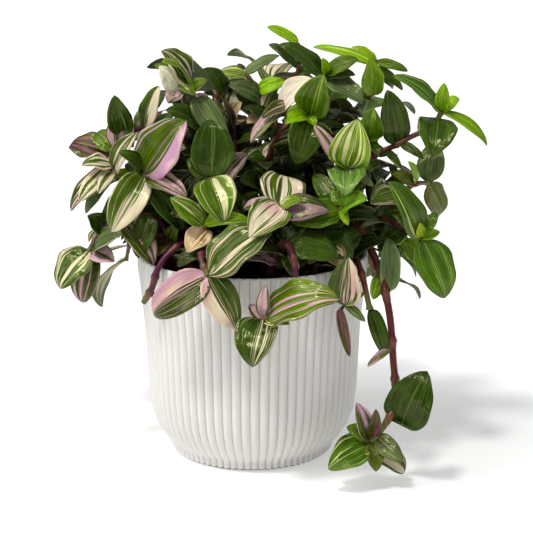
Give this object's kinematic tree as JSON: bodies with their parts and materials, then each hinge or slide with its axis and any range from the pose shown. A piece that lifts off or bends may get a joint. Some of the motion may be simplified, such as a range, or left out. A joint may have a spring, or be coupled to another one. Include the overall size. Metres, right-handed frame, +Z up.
{
  "type": "potted tradescantia",
  "caption": "Trailing variegated house plant with striped green, cream and pink leaves, in a white ribbed tapered pot filled with soil.",
  "frame": {"origin": "centre of the pot's flat foot, on the surface it stands on", "axes": "+Z up along the pot's axis; -Y is the front, the side that the picture shows; +X to the right in the picture"},
  "size_m": [0.2573, 0.2233, 0.2508],
  "materials": {
    "pot": "satin",
    "soil": "matte",
    "foliage_green": "satin",
    "foliage_striped": "satin"
  },
  "bodies": {
    "root": {"pot": "pot", "soil": "soil", "stem_left_top": "foliage_striped", "stem_left_mid": "foliage_striped", "stem_left_rosette": "foliage_striped", "stem_left_low": "foliage_striped", "stem_left_rim": "foliage_striped", "stem_broken": "foliage_striped", "stem_front_left": "foliage_striped", "stem_front_middle": "foliage_striped", "stem_front_rim": "foliage_striped", "stem_rim_right": "foliage_striped", "stem_right_striped": "foliage_striped", "stem_right_second": "foliage_green", "stem_trailing": "foliage_green", "stem_right_cluster": "foliage_green", "stem_right_behind": "foliage_green", "stem_right_mid": "foliage_green", "stem_middle_right": "foliage_green", "stem_front_right": "foliage_green", "stem_front_centre": "foliage_striped", "stem_middle_left": "foliage_striped", "stem_front_left_low": "foliage_striped", "stem_centre_top": "foliage_green", "stem_top": "foliage_green", "stem_top_behind": "foliage_green", "stem_top_right": "foliage_green", "stem_right_far": "foliage_green", "stem_right_inner": "foliage_green", "stem_left_inner": "foliage_striped", "stem_middle_top": "foliage_green", "stem_cream": "foliage_striped", "stem_back_1": "foliage_green", "stem_back_3": "foliage_green", "stem_back_5": "foliage_green", "stem_back_7": "foliage_green", "stem_back_9": "foliage_striped", "stem_back_11": "foliage_striped", "stem_inner_1": "foliage_green", "stem_back_2": "foliage_green", "stem_back_4": "foliage_green", "stem_back_6": "foliage_green", "stem_back_8": "foliage_green", "stem_back_10": "foliage_striped", "stem_inner_2": "foliage_striped"}
  },
  "joints": []
}
